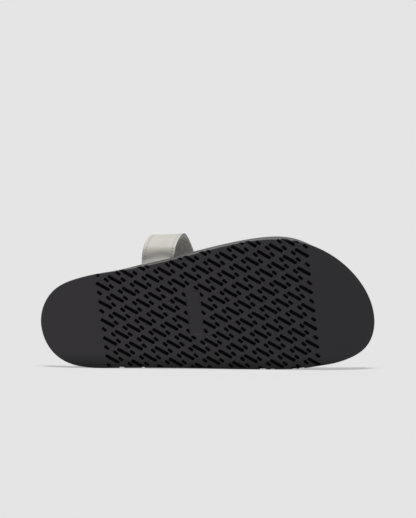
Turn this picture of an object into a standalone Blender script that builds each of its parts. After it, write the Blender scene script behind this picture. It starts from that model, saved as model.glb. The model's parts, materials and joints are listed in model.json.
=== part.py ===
"""Slide sandal for the right foot: a slotted outsole, a foamed midsole, an insole and one wide strap.

Sizes are in millimetres until a mesh is made. In the shoe's own frame, along runs from the heel tip
to the toe, across from the inner side to the outer side, and up from the ground face to the foot.
The finished shoe lies on its inner side, so that the edge of the sole and the bulge of the strap
both touch the plane z = 0.
"""
import math

import bmesh
import bpy
import numpy as np

MILLIMETRE = 0.001
GAP = 0.3

# Sole: sections are straight lines across, skewed like the columns of the tread
SOLE_LENGTH = 280.0
STATION_COUNT = 40
SECTION_SKEW = math.tan(math.radians(6.8))
SKEW_CENTRE = 40.0
SOLE_COLUMNS = ("station", "inner_edge", "outer_edge")
SOLE_SECTIONS = (
    (0.0, 34.4, 34.4),
    (4.0, 17.3, 51.2),
    (16.0, 5.2, 66.4),
    (38.0, 0.1, 76.4),
    (54.0, 0.0, 80.1),
    (72.0, 0.3, 82.9),
    (92.0, 0.4, 86.7),
    (114.0, 0.4, 91.7),
    (158.0, 0.0, 103.3),
    (196.0, 0.1, 109.9),
    (212.0, 0.8, 109.9),
    (228.0, 3.1, 106.9),
    (242.0, 5.6, 101.2),
    (254.0, 9.1, 93.2),
    (271.0, 19.1, 73.6),
    (280.0, 43.3, 43.3),
)

# Ground face: flat between the two ends, which roll up
FLAT_START = 50.0
FLAT_END = 232.0
HEEL_ROLL = 6.0
TOE_SPRING = 11.0
OUTSOLE_THICKNESS = 5.0
EDGE_ROUND = 0.8

# Tread: slanted slots on a lattice, left out on a bare patch in the waist
SLOT_LENGTH = 12.8
SLOT_WIDTH = 2.8
SLOT_DEPTH = 3.4
SLOT_CHAMFER = 0.8
SLOT_ANGLE = math.radians(-29.0)
SLOT_ORIGIN = (141.0, 37.9)
SLOT_STEP = (9.80, 5.69)
SLOT_DROP = (2.00, -15.35)
SLOT_REACH = 24
TREAD_MARGIN = 0.5
PATCH_CENTRE = (129.1, 47.7)
PATCH_SIZE = (11.0, 38.0)

# Midsole and footbed: rim heights over the ground plane, depth of the dish, inward lean of the side
RIM_COLUMNS = ("station", "inner_rim", "outer_rim", "cup", "wall_lean")
RIM_SECTIONS = (
    (0.0, 34.0, 34.0, 7.0, 12.0),
    (40.0, 33.0, 31.5, 7.0, 9.5),
    (72.0, 32.6, 29.6, 5.6, 5.9),
    (92.0, 32.0, 28.8, 5.0, 3.2),
    (150.0, 27.0, 25.5, 3.0, 2.5),
    (190.0, 23.8, 23.7, 2.5, 1.9),
    (225.0, 23.7, 23.8, 2.8, 2.2),
    (242.0, 24.6, 24.6, 3.0, 7.8),
    (258.0, 26.0, 26.0, 3.3, 11.0),
    (280.0, 31.0, 31.0, 4.0, 13.0),
)
MIDSOLE_STEP = 0.5
RIM_ROUND = 1.4
RIM_WIDTH = 4.0
RECESS_DEPTH = 3.2
DISH_COLUMNS = 10
DISH_POWER = 2.4
INSOLE_THICKNESS = 3.0
INSOLE_ROUND = 0.8

# Strap: folds of its middle line, from the outer tab over the instep to the inner tab
STRAP_WIDTH = 27.0
STRAP_THICKNESS = 2.4
STRAP_CHAMFER = 0.6
STRAP_ROOT = 97.7
STRAP_STEPS = 4
STRAP_FREE_UP = 25.0
STRAP_COLUMNS = ("across", "up", "forward")
STRAP_FOLDS = (
    (79.0, 19.6, 0.0),
    (84.0, 19.5, 0.0),
    (87.0, 19.6, 0.0),
    (89.5, 19.8, 0.1),
    (92.5, 19.9, 0.3),
    (96.0, 20.7, 1.1),
    (100.0, 25.2, 2.1),
    (103.2, 33.2, 3.8),
    (105.2, 45.4, 6.4),
    (104.6, 54.0, 8.7),
    (100.4, 61.0, 11.0),
    (94.3, 65.4, 13.5),
    (85.9, 68.6, 16.6),
    (65.9, 71.4, 20.6),
    (42.0, 71.2, 24.3),
    (20.0, 67.0, 27.2),
    (4.0, 58.0, 29.1),
    (-2.6, 47.0, 29.9),
    (-1.4, 36.0, 30.2),
    (0.2, 27.5, 30.2),
    (1.6, 22.6, 30.1),
    (4.6, 19.3, 30.0),
    (8.6, 18.5, 30.0),
    (18.0, 18.5, 30.0),
)
STRAP_TILT = 0.043
TILT_START = 40.0
TILT_END = 100.0

# Finishes: base colour in linear light, and roughness
FINISHES = {
    "outsole": ((0.033, 0.031, 0.034), 0.62),
    "midsole": ((0.075, 0.074, 0.076), 0.75),
    "insole": ((0.100, 0.098, 0.090), 0.90),
    "strap": ((0.600, 0.570, 0.510), 0.60),
}


def column(table, names, name):
    """One named column of a table as an array."""
    return np.array([row[names.index(name)] for row in table])


def cubic_through(knots, values, places):
    """Natural cubic curve through the knots, read at the given places."""
    step = np.diff(knots)
    slope = np.diff(values) / step
    count = len(knots)
    system = np.eye(count)
    right = np.zeros(count)
    for row in range(1, count - 1):
        system[row, row - 1] = step[row - 1]
        system[row, row] = 2.0 * (step[row - 1] + step[row])
        system[row, row + 1] = step[row]
        right[row] = 6.0 * (slope[row] - slope[row - 1])
    bend = np.linalg.solve(system, right)
    span = np.clip(np.searchsorted(knots, places, side="right") - 1, 0, count - 2)
    reach = step[span]
    after = (places - knots[span]) / reach
    before = 1.0 - after
    arch = (before ** 3 - before) * bend[span] + (after ** 3 - after) * bend[span + 1]
    return before * values[span] + after * values[span + 1] + arch * reach ** 2 / 6.0


def sole_angle(station):
    """Angle that opens from heel to toe, so that both round ends are smooth."""
    return np.arccos(1.0 - 2.0 * np.asarray(station) / SOLE_LENGTH)


def section_value(table, names, name, station):
    """A column of a section table, read smoothly at any station."""
    knots = sole_angle(column(table, names, "station"))
    return cubic_through(knots, column(table, names, name), sole_angle(station))


def ground_rise(station):
    """Height of the ground face: flat in the middle, rolled up at heel and toe."""
    heel = np.clip((FLAT_START - station) / FLAT_START, 0.0, 1.0)
    toe = np.clip((station - FLAT_END) / (SOLE_LENGTH - FLAT_END), 0.0, 1.0)
    return HEEL_ROLL * heel ** 2 + TOE_SPRING * toe ** 2


def stations_with_flat_ends():
    """Stations spread like a half circle, the nearest two moved to the ends of the flat."""
    station = SOLE_LENGTH / 2.0 * (1.0 - np.cos(np.linspace(0.0, math.pi, STATION_COUNT + 1)))
    for limit in (FLAT_START, FLAT_END):
        station[np.argmin(np.abs(station - limit))] = limit
    return station


STATION = stations_with_flat_ends()
RING_STATION = np.concatenate([STATION, STATION[-2:0:-1]])
RING_SIDE = np.concatenate([[0.0], np.ones(STATION_COUNT - 1), [0.0], -np.ones(STATION_COUNT - 1)])


def base_ring():
    """Plan of the sole as a ring: heel tip, outer side, toe tip, inner side."""
    inner = section_value(SOLE_SECTIONS, SOLE_COLUMNS, "inner_edge", STATION)
    outer = section_value(SOLE_SECTIONS, SOLE_COLUMNS, "outer_edge", STATION)
    across = np.concatenate([outer, inner[-2:0:-1]])
    along = RING_STATION - SECTION_SKEW * (across - SKEW_CENTRE)
    return np.stack([along, across], axis=1)


def inward_normals(ring):
    """Unit normals of a closed plan that point into the sole."""
    tangent = np.roll(ring, -1, axis=0) - np.roll(ring, 1, axis=0)
    normal = np.stack([tangent[:, 1], -tangent[:, 0]], axis=1)
    return normal / np.linalg.norm(normal, axis=1)[:, None]


BASE_RING = base_ring()
INWARD = inward_normals(BASE_RING)


def ring_at(inset, up):
    """The plan moved inwards by inset and set at height up, each a number or one value per point."""
    plan = BASE_RING + INWARD * np.broadcast_to(inset, len(BASE_RING))[:, None]
    return np.column_stack([plan, np.broadcast_to(up, len(BASE_RING))])


def rim_height():
    """Height of the rim around the ring, the mean of both sides at the two tips."""
    inner = section_value(RIM_SECTIONS, RIM_COLUMNS, "inner_rim", RING_STATION)
    outer = section_value(RIM_SECTIONS, RIM_COLUMNS, "outer_rim", RING_STATION)
    share = (RING_SIDE + 1.0) / 2.0
    return inner * (1.0 - share) + outer * share


def wall_inset(up):
    """How far the leaning side of the sole has come in from the plan at the given height."""
    lean = section_value(RIM_SECTIONS, RIM_COLUMNS, "wall_lean", RING_STATION)
    return (up - ground_rise(RING_STATION) - EDGE_ROUND) * np.tan(np.radians(lean))


def partner(index):
    """Ring index straight across the sole from an outer one."""
    return (2 * STATION_COUNT - index) % (2 * STATION_COUNT)


class Solid:
    """Collects points and faces of one closed body."""

    def __init__(self):
        self.points = []
        self.faces = []

    def add(self, points):
        start = sum(len(block) for block in self.points)
        self.points.append(np.asarray(points, dtype=float))
        return start

    def bridge(self, first, second, count):
        """Quads between two rings of the same count."""
        for i in range(count):
            j = (i + 1) % count
            self.faces.append((first + i, first + j, second + j, second + i))

    def ladder(self, start, flat=None):
        """Cap of a sole ring: rungs across, with one face for a flat stretch of stations."""
        index = 0
        while index < STATION_COUNT:
            last = flat[1] if flat and index == flat[0] else index + 1
            outer = list(range(index, last + 1))
            face = outer + [partner(i) for i in reversed(outer)]
            self.faces.append(tuple(start + i for i in dict.fromkeys(face)))
            index = last

    def dish(self, start, ring, cup):
        """Hollowed cap of a sole ring: a grid between its two sides, sunk by cup in the middle."""
        share = np.linspace(0.0, 1.0, DISH_COLUMNS + 1)[1:-1]
        sink = 1.0 - np.abs(2.0 * share - 1.0) ** DISH_POWER
        rows = [[start] * (DISH_COLUMNS + 1)]
        for i in range(1, STATION_COUNT):
            inner = ring[partner(i)]
            outer = ring[i]
            line = inner + share[:, None] * (outer - inner)
            line[:, 2] -= cup[i] * sink
            first = self.add(line)
            rows.append([start + partner(i), *range(first, first + len(line)), start + i])
        rows.append([start + STATION_COUNT] * (DISH_COLUMNS + 1))
        for low, high in zip(rows, rows[1:]):
            for j in range(DISH_COLUMNS):
                face = dict.fromkeys((low[j], low[j + 1], high[j + 1], high[j]))
                self.faces.append(tuple(face))

    def make(self, name, smooth_angle=math.radians(35)):
        """Blender object of the body, in the shoe's frame: x along, y to the inner side, z up."""
        points = np.concatenate(self.points) * MILLIMETRE
        points[:, 1] *= -1.0
        mesh = bpy.data.meshes.new(name)
        mesh.from_pydata(points.tolist(), [], self.faces)
        work = bmesh.new()
        work.from_mesh(mesh)
        bmesh.ops.recalc_face_normals(work, faces=work.faces)
        work.to_mesh(mesh)
        work.free()
        mesh.shade_smooth()
        mesh.set_sharp_from_angle(angle=smooth_angle)
        piece = bpy.data.objects.new(name, mesh)
        bpy.context.collection.objects.link(piece)
        return piece


def give_finish(piece):
    """Principled material of the piece's own colour and roughness."""
    colour, roughness = FINISHES[piece.name]
    finish = bpy.data.materials.new(piece.name)
    finish.use_nodes = True
    shader = finish.node_tree.nodes["Principled BSDF"]
    shader.inputs["Base Color"].default_value = (*colour, 1.0)
    shader.inputs["Roughness"].default_value = roughness
    shader.inputs["Metallic"].default_value = 0.0
    piece.data.materials.append(finish)


def cut_with(piece, cutter):
    """Boolean cut that keeps its cutter as a hidden wire guide."""
    cutter.hide_render = True
    cutter.display_type = "WIRE"
    cut = piece.modifiers.new("cut_" + cutter.name, "BOOLEAN")
    cut.operation = "DIFFERENCE"
    cut.solver = "EXACT"
    cut.object = cutter


def make_outsole():
    """Rubber slab on the sole's plan, its lower edge rounded and its side leaning in."""
    ground = ground_rise(RING_STATION)
    top = ground + OUTSOLE_THICKNESS
    body = Solid()
    starts = []
    for angle in np.radians((0.0, 45.0, 90.0)):
        inset = EDGE_ROUND * (1.0 - math.sin(angle))
        starts.append(body.add(ring_at(inset, ground + EDGE_ROUND * (1.0 - math.cos(angle)))))
    starts.append(body.add(ring_at(wall_inset(top), top)))
    for low, high in zip(starts, starts[1:]):
        body.bridge(low, high, len(BASE_RING))
    flat = (int(np.argmin(np.abs(STATION - FLAT_START))), int(np.argmin(np.abs(STATION - FLAT_END))))
    body.ladder(starts[0], flat)
    body.ladder(starts[-1])
    return body.make("outsole")


def chamfered_bar(half_length, half_width, chamfer):
    """Corners of a bar around its centre, each corner cut by the chamfer."""
    return [(-half_length, chamfer - half_width), (chamfer - half_length, -half_width),
            (half_length - chamfer, -half_width), (half_length, chamfer - half_width),
            (half_length, half_width - chamfer), (half_length - chamfer, half_width),
            (chamfer - half_length, half_width), (-half_length, half_width - chamfer)]


def slot_centres():
    """Lattice points of the slots that reach the sole's flat and miss the bare patch."""
    steps = np.arange(-SLOT_REACH, SLOT_REACH + 1)
    columns, drops = np.meshgrid(steps, steps)
    lattice = columns[..., None] * np.array(SLOT_STEP) + drops[..., None] * np.array(SLOT_DROP)
    centres = (np.array(SLOT_ORIGIN) + lattice).reshape(-1, 2)
    station = centres[:, 0] + SECTION_SKEW * (centres[:, 1] - SKEW_CENTRE)
    run_share = math.cos(SLOT_ANGLE) + SECTION_SKEW * math.sin(SLOT_ANGLE)
    half_run = SLOT_LENGTH / 2.0 * run_share + TREAD_MARGIN
    half_drop = SLOT_LENGTH / 2.0 * abs(math.sin(SLOT_ANGLE)) - TREAD_MARGIN
    on_flat = (station > FLAT_START + half_run) & (station < FLAT_END - half_run)
    inside = np.clip(station, 0.0, SOLE_LENGTH)
    inner = section_value(SOLE_SECTIONS, SOLE_COLUMNS, "inner_edge", inside) - half_drop
    outer = section_value(SOLE_SECTIONS, SOLE_COLUMNS, "outer_edge", inside) + half_drop
    on_sole = (centres[:, 1] > inner) & (centres[:, 1] < outer)
    patch_station = PATCH_CENTRE[0] + SECTION_SKEW * (PATCH_CENTRE[1] - SKEW_CENTRE)
    beside = np.abs(station - patch_station) > PATCH_SIZE[0] / 2.0
    beyond = np.abs(centres[:, 1] - PATCH_CENTRE[1]) > PATCH_SIZE[1] / 2.0
    return centres[on_flat & on_sole & (beside | beyond)]


def make_slot_cutter():
    """All slots as flat bars with chamfered corners, set through the ground face."""
    bar = np.array(chamfered_bar(SLOT_LENGTH / 2.0, SLOT_WIDTH / 2.0, SLOT_CHAMFER))
    turn = np.array([(math.cos(SLOT_ANGLE), math.sin(SLOT_ANGLE)),
                     (-math.sin(SLOT_ANGLE), math.cos(SLOT_ANGLE))])
    bar = bar @ turn
    count = len(bar)
    body = Solid()
    for centre in slot_centres():
        low = body.add(np.column_stack([bar + centre, np.full(count, -SLOT_DEPTH)]))
        high = body.add(np.column_stack([bar + centre, np.full(count, SLOT_DEPTH)]))
        body.bridge(low, high, count)
        body.faces.append(tuple(range(low, low + count)))
        body.faces.append(tuple(range(high, high + count)))
    return body.make("slot_cutter")


def make_midsole():
    """Foamed wedge: leaning wall, rounded rim, and a recess that is dished for the foot."""
    base = ground_rise(RING_STATION) + OUTSOLE_THICKNESS + GAP
    rim = rim_height()
    lean_in = MIDSOLE_STEP + wall_inset(rim)
    cup = section_value(RIM_SECTIONS, RIM_COLUMNS, "cup", STATION)
    floor_ring = ring_at(lean_in + RIM_WIDTH + GAP, rim - RECESS_DEPTH)
    body = Solid()
    rings = [
        ring_at(MIDSOLE_STEP + wall_inset(base), base),
        ring_at(lean_in, rim - RIM_ROUND),
        ring_at(lean_in + RIM_ROUND * (1.0 - math.sqrt(0.5)), rim - RIM_ROUND * (1.0 - math.sqrt(0.5))),
        ring_at(lean_in + RIM_ROUND, rim),
        ring_at(lean_in + RIM_WIDTH, rim),
        floor_ring,
    ]
    starts = [body.add(ring) for ring in rings]
    for low, high in zip(starts, starts[1:]):
        body.bridge(low, high, len(BASE_RING))
    body.ladder(starts[0])
    body.dish(starts[-1], floor_ring, cup)
    return body.make("midsole")


def make_insole():
    """Covered footbed that follows the dish of the midsole, with a rounded top edge."""
    rim = rim_height()
    edge = MIDSOLE_STEP + wall_inset(rim) + RIM_WIDTH + 2.0 * GAP
    cup = section_value(RIM_SECTIONS, RIM_COLUMNS, "cup", STATION)
    bottom = rim - RECESS_DEPTH + GAP
    top = bottom + INSOLE_THICKNESS
    rings = [
        ring_at(edge, bottom),
        ring_at(edge, top - INSOLE_ROUND),
        ring_at(edge + INSOLE_ROUND, top),
    ]
    body = Solid()
    starts = [body.add(ring) for ring in rings]
    for low, high in zip(starts, starts[1:]):
        body.bridge(low, high, len(BASE_RING))
    body.dish(starts[0], rings[0], cup)
    body.dish(starts[-1], rings[-1], cup)
    return body.make("insole")


def strap_path():
    """Middle line of the strap as a smooth curve through its folds, with its tangents."""
    folds = np.array(STRAP_FOLDS)
    run = np.concatenate([[0.0], np.cumsum(np.linalg.norm(np.diff(folds, axis=0), axis=1))])
    places = np.concatenate([
        np.linspace(low, high, STRAP_STEPS, endpoint=False) for low, high in zip(run, run[1:])
    ] + [run[-1:]])
    curve = {name: cubic_through(run, column(STRAP_FOLDS, STRAP_COLUMNS, name), places)
             for name in STRAP_COLUMNS}
    path = np.column_stack([STRAP_ROOT + curve["forward"], curve["across"], curve["up"]])
    tangent = np.gradient(path, axis=0)
    return path, tangent / np.linalg.norm(tangent, axis=1)[:, None]


def strap_width_axis(path, tangent):
    """Direction of the band's width: along the shoe, its front edge raised a little on the outer side."""
    raised = STRAP_TILT * np.clip((path[:, 1] - TILT_START) / (TILT_END - TILT_START), 0.0, 1.0)
    level = np.column_stack([np.ones(len(path)), raised, np.zeros(len(path))])
    width = level - np.sum(level * tangent, axis=1)[:, None] * tangent
    return width / np.linalg.norm(width, axis=1)[:, None]


def strap_body(extra):
    """Band along the strap's path, with chamfered edges, grown by extra on every side."""
    path, tangent = strap_path()
    forward = strap_width_axis(path, tangent)
    across_thickness = np.cross(forward, tangent)
    wide = STRAP_WIDTH / 2.0 + extra
    thick = STRAP_THICKNESS / 2.0 + extra
    section = chamfered_bar(wide, thick, STRAP_CHAMFER)
    path[0] -= tangent[0] * extra
    path[-1] += tangent[-1] * extra
    body = Solid()
    rows = [path + side * forward + lift * across_thickness for side, lift in section]
    start = body.add(np.stack(rows, axis=1).reshape(-1, 3))
    count = len(section)
    for i in range(len(path) - 1):
        body.bridge(start + i * count, start + (i + 1) * count, count)
    body.faces.append(tuple(range(start, start + count)))
    last = start + (len(path) - 1) * count
    body.faces.append(tuple(range(last, last + count)))
    return body


def lay_on_side(pieces, strap):
    """Parent all pieces to an empty that lays the shoe on its sole edge and its strap."""
    bulge = np.array([corner.co for corner in strap.data.vertices])
    edge_up = EDGE_ROUND * MILLIMETRE
    free = bulge[bulge[:, 2] > STRAP_FREE_UP * MILLIMETRE]
    lean = np.max(np.arctan2(free[:, 1], free[:, 2] - edge_up))
    turn = lean - math.pi / 2.0
    cosine = math.cos(turn)
    sine = math.sin(turn)
    points = np.concatenate([[corner.co for corner in piece.data.vertices] for piece in pieces])
    depth = points[:, 1] * cosine - points[:, 2] * sine
    height = points[:, 1] * sine + points[:, 2] * cosine
    pose = bpy.data.objects.new("lying_pose", None)
    bpy.context.collection.objects.link(pose)
    pose.rotation_euler = (turn, 0.0, 0.0)
    pose.location = (
        -(points[:, 0].min() + points[:, 0].max()) / 2.0,
        -(depth.min() + depth.max()) / 2.0,
        -height.min(),
    )
    return pose


def build():
    """Model the four pieces and lay the shoe on its side."""
    for old in list(bpy.data.objects):
        bpy.data.objects.remove(old, do_unlink=True)
    outsole = make_outsole()
    midsole = make_midsole()
    insole = make_insole()
    strap = strap_body(0.0).make("strap")
    pieces = [outsole, midsole, insole, strap]
    for piece in pieces:
        give_finish(piece)
    slots = make_slot_cutter()
    channel = strap_body(GAP).make("channel_cutter")
    cut_with(outsole, slots)
    cut_with(midsole, channel)
    pose = lay_on_side(pieces, strap)
    for piece in [*pieces, slots, channel]:
        piece.parent = pose


build()
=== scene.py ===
# %% [markdown]
# # A leather slide that lies on its side
#
# The object is one slide sandal for the right foot: a slotted rubber outsole, a foamed midsole,
# a soft insole and one wide leather strap. It lies on its inner side, sole towards the viewer.
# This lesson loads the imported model, makes a finer piece for each plain solid, gives every piece
# its finish, and sets up floor, light and camera.

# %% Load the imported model
import json
import math

import bmesh
import bpy
import numpy as np
from mathutils import Matrix


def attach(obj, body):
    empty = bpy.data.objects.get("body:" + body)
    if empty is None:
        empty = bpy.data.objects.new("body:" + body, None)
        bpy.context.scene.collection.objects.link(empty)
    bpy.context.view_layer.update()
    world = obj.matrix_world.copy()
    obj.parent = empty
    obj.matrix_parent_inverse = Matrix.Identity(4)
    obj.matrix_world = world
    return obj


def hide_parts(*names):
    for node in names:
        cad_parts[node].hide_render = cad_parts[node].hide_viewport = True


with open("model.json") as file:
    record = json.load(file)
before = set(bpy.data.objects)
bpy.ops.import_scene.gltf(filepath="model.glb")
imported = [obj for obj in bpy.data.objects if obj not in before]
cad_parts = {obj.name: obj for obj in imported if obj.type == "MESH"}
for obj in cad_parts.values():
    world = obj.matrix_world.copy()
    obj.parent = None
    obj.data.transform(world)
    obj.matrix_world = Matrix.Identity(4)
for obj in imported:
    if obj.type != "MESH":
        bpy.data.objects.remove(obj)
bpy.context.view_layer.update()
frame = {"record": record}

# %% [markdown]
# ## Sizes and axes of the shoe
#
# A shoemaker measures in millimetres from the heel: along the sole, across it and up from the
# ground. The same three directions are used here, so the tables below repeat the sizes of the
# model. The ground face of the sole is a mount in the record, and from its place and direction
# the lying shoe's axes follow. One function then carries any points from shoe to room.

# %% Axes from the ground face
MM = 0.001
PATCH_CENTRE = (129.1, 47.7)
mount = next(entry for entry in frame["record"]["mounts"] if entry["name"] == "ground_face")
ALONG = np.array((1.0, 0.0, 0.0))
UP = -np.array(mount["axis"])
ACROSS = np.cross(ALONG, UP)
SHOE_AXES = np.stack([ALONG, ACROSS, UP])
HEEL_CORNER = np.array(mount["pos_m"]) - MM * np.array((*PATCH_CENTRE, 0.0)) @ SHOE_AXES


def to_room(points):
    """Corner of the shoe's frame, plus each of the three measures times its own direction."""
    return HEEL_CORNER + MM * np.asarray(points) @ SHOE_AXES


print("the sole leans", round(math.degrees(math.asin(UP[2])), 2), "degrees from upright")

# %% [markdown]
# ## Measured sections
#
# A sole is measured at a few stations from heel to toe: where its two edges run, how high its rim
# stands and how deep the dish for the foot is. The sections are skewed a little, like the line
# across the ball of a foot. These two short tables hold the whole shape of the sole.

# %% Tables of the sole
SOLE_LENGTH = 280.0
SECTION_SKEW = math.tan(math.radians(6.8))
SKEW_CENTRE = 40.0
FLAT_START, FLAT_END = 50.0, 232.0
HEEL_ROLL, TOE_SPRING = 6.0, 11.0
OUTSOLE_THICKNESS, EDGE_ROUND = 5.0, 0.8

# Station from the heel, then inner edge and outer edge of the plan
SOLE = np.array((
    (0.0, 34.4, 34.4), (4.0, 17.3, 51.2), (16.0, 5.2, 66.4), (38.0, 0.1, 76.4),
    (54.0, 0.0, 80.1), (72.0, 0.3, 82.9), (92.0, 0.4, 86.7), (114.0, 0.4, 91.7),
    (158.0, 0.0, 103.3), (196.0, 0.1, 109.9), (212.0, 0.8, 109.9), (228.0, 3.1, 106.9),
    (242.0, 5.6, 101.2), (254.0, 9.1, 93.2), (271.0, 19.1, 73.6), (280.0, 43.3, 43.3),
))

# Station, then inner rim, outer rim, depth of the dish and inward lean of the side in degrees
RIM = np.array((
    (0.0, 34.0, 34.0, 7.0, 12.0), (40.0, 33.0, 31.5, 7.0, 9.5), (72.0, 32.6, 29.6, 5.6, 5.9),
    (92.0, 32.0, 28.8, 5.0, 3.2), (150.0, 27.0, 25.5, 3.0, 2.5), (190.0, 23.8, 23.7, 2.5, 1.9),
    (225.0, 23.7, 23.8, 2.8, 2.2), (242.0, 24.6, 24.6, 3.0, 7.8), (258.0, 26.0, 26.0, 3.3, 11.0),
    (280.0, 31.0, 31.0, 4.0, 13.0),
))
print(len(SOLE), "sections of the plan and", len(RIM), "of the rim")

# %% [markdown]
# ## Curves through short tables
#
# A sole is drawn with a few measured sections and a flexible ruler that runs smoothly through
# them. A natural cubic does the same with numbers. Sections are read over an angle that opens
# from heel to toe, because then the two round ends come out round instead of pointed.

# %% Smooth curves
def cubic_through(knots, values, places):
    """Cubic pieces between knots; slope and bend agree where they meet, with no bend at the ends."""
    step = np.diff(knots)
    slope = np.diff(values) / step
    inner = np.arange(1, len(knots) - 1)
    system = np.eye(len(knots))
    system[inner, inner - 1] = step[:-1]
    system[inner, inner] = 2.0 * (step[:-1] + step[1:])
    system[inner, inner + 1] = step[1:]
    right = np.zeros(len(knots))
    right[1:-1] = 6.0 * np.diff(slope)
    bend = np.linalg.solve(system, right)
    span = np.clip(np.searchsorted(knots, places, side="right") - 1, 0, len(knots) - 2)
    after = (places - knots[span]) / step[span]
    before = 1.0 - after
    arch = (before ** 3 - before) * bend[span] + (after ** 3 - after) * bend[span + 1]
    return before * values[span] + after * values[span + 1] + arch * step[span] ** 2 / 6.0


def sole_angle(station):
    """Angle whose cosine falls evenly from one at the heel to minus one at the toe."""
    return np.arccos(1.0 - 2.0 * np.asarray(station) / SOLE_LENGTH)


def read_table(table, column, station):
    """One column of a section table at any stations, as a cubic over the sole's angle."""
    return cubic_through(sole_angle(table[:, 0]), table[:, column], sole_angle(station))


def ground_rise(station):
    """Nothing on the flat; the square of the way past it, times the roll, at heel and toe."""
    heel = np.clip((FLAT_START - station) / FLAT_START, 0.0, 1.0)
    toe = np.clip((station - FLAT_END) / (SOLE_LENGTH - FLAT_END), 0.0, 1.0)
    return HEEL_ROLL * heel ** 2 + TOE_SPRING * toe ** 2


print("rise at the heel and toe tips, mm:", ground_rise(np.array((0.0, SOLE_LENGTH))).tolist())

# %% [markdown]
# ## The ring of the sole
#
# Slab, wall and rim all follow one closed line round the foot, the plan. It is sampled more closely
# at heel and toe, where it turns fastest, and every point of it knows its way inwards. A ring at
# some height is the plan moved inwards by an inset, and a stack of rings is a wall.

# %% Plan and rings
STATIONS = 168
RING = 2 * STATIONS
STATION = SOLE_LENGTH / 2.0 * (1.0 - np.cos(np.linspace(0.0, math.pi, STATIONS + 1)))
FLAT_ROWS = [int(np.argmin(np.abs(STATION - limit))) for limit in (FLAT_START, FLAT_END)]
STATION[FLAT_ROWS] = FLAT_START, FLAT_END
RING_STATION = np.concatenate([STATION, STATION[-2:0:-1]])
OUTER_SHARE = np.concatenate([[0.5], np.ones(STATIONS - 1), [0.5], np.zeros(STATIONS - 1)])

plan_across = np.concatenate([read_table(SOLE, 2, STATION), read_table(SOLE, 1, STATION)[-2:0:-1]])
PLAN = np.column_stack([RING_STATION - SECTION_SKEW * (plan_across - SKEW_CENTRE), plan_across])
plan_run = np.roll(PLAN, -1, axis=0) - np.roll(PLAN, 1, axis=0)
plan_side = np.column_stack([plan_run[:, 1], -plan_run[:, 0]])
INWARD = plan_side / np.linalg.norm(plan_run, axis=1)[:, None]
GROUND = ground_rise(RING_STATION)
LEAN = np.tan(np.radians(read_table(RIM, 4, RING_STATION)))


def wall_inset(up):
    """Height over the rounded ground edge, times the tangent of the side's lean."""
    return (up - GROUND - EDGE_ROUND) * LEAN


def sole_rings(insets, heights):
    """The plan moved inwards by each inset and set at each height: rings x points x 3."""
    insets = np.stack([np.broadcast_to(inset, RING) for inset in insets])
    heights = np.stack([np.broadcast_to(height, RING) for height in heights])
    flat = PLAN + insets[..., None] * INWARD
    return np.concatenate([flat, heights[..., None]], axis=-1)


print("plan of the sole:", RING, "points,", round(float(np.ptp(PLAN[:, 0])), 1), "mm long and",
      round(float(np.ptp(PLAN[:, 1])), 1), "mm wide")

# %% [markdown]
# ## Faces from grids
#
# Every surface below is a grid of points, so its faces are counted the same way each time:
# a point, its neighbour, and the two under them. Closed rings join their last column to the
# first. A dish is a grid too, of straight lines across the sole that are sunk in their middle.

# %% Grids, dishes and joined blocks
def grid_faces(rows, columns, closed):
    """Four corners of each cell of a grid numbered row by row."""
    low = np.arange(rows - 1)[:, None] * columns
    here = np.arange(columns if closed else columns - 1)
    beside = (here + 1) % columns
    cells = [low + here, low + beside, low + columns + beside, low + columns + here]
    return np.stack(np.broadcast_arrays(*cells), axis=-1).reshape(-1, 4)


def dish(ring, cup, columns, power):
    """Straight lines across the sole, sunk by cup x (1 - |distance from the middle| ^ power)."""
    share = np.linspace(0.0, 1.0, columns + 1)
    inner = np.concatenate([ring[:1], ring[:STATIONS - 1:-1]])
    lines = inner[:, None] + share[:, None] * (ring[:STATIONS + 1] - inner)[:, None]
    lines[..., 2] -= cup[:, None] * (1.0 - np.abs(2.0 * share - 1.0) ** power)
    return lines


def weld(blocks):
    """Joins (points, faces) blocks into one list of points and one list of faces."""
    starts = np.cumsum([0] + [len(points) for points, faces in blocks])
    points = np.concatenate([points for points, faces in blocks])
    faces = [tuple(np.asarray(face) + start)
             for (_, rows), start in zip(blocks, starts) for face in rows]
    return points, faces


# %% [markdown]
# ## From numbers to pieces
#
# Points and faces become a mesh in one place, so that all pieces are treated alike. Points that
# fall together, as at the heel tip, are merged, and the faces are turned outwards. A cutter is
# taken out of a piece at once. A finished piece then takes the place of its plain solid.

# %% Making, cutting and placing pieces
SAME_POINT, NO_LENGTH = 1.0e-6, 1.0e-7
EDGE_SHARP, TREAD_SHARP, BAND_SHARP = 40.0, 50.0, 60.0


def smooth(mesh, sharp):
    """Smooth shading, except over edges that turn by more than the given degrees."""
    mesh.shade_smooth()
    mesh.set_sharp_from_angle(angle=math.radians(sharp))


def make_piece(name, points, faces, finishes, sharp=EDGE_SHARP):
    """Mesh from points in shoe measures, merged where they meet, turned outwards, shaded smooth."""
    mesh = bpy.data.meshes.new(name)
    mesh.from_pydata(to_room(points).tolist(), [], [tuple(map(int, face)) for face in faces])
    work = bmesh.new()
    work.from_mesh(mesh)
    bmesh.ops.remove_doubles(work, verts=work.verts, dist=SAME_POINT)
    bmesh.ops.dissolve_degenerate(work, edges=work.edges, dist=NO_LENGTH)
    bmesh.ops.recalc_face_normals(work, faces=work.faces)
    work.to_mesh(mesh)
    work.free()
    smooth(mesh, sharp)
    for finish in finishes:
        mesh.materials.append(finish)
    piece = bpy.data.objects.new(name, mesh)
    bpy.context.collection.objects.link(piece)
    return piece


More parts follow.
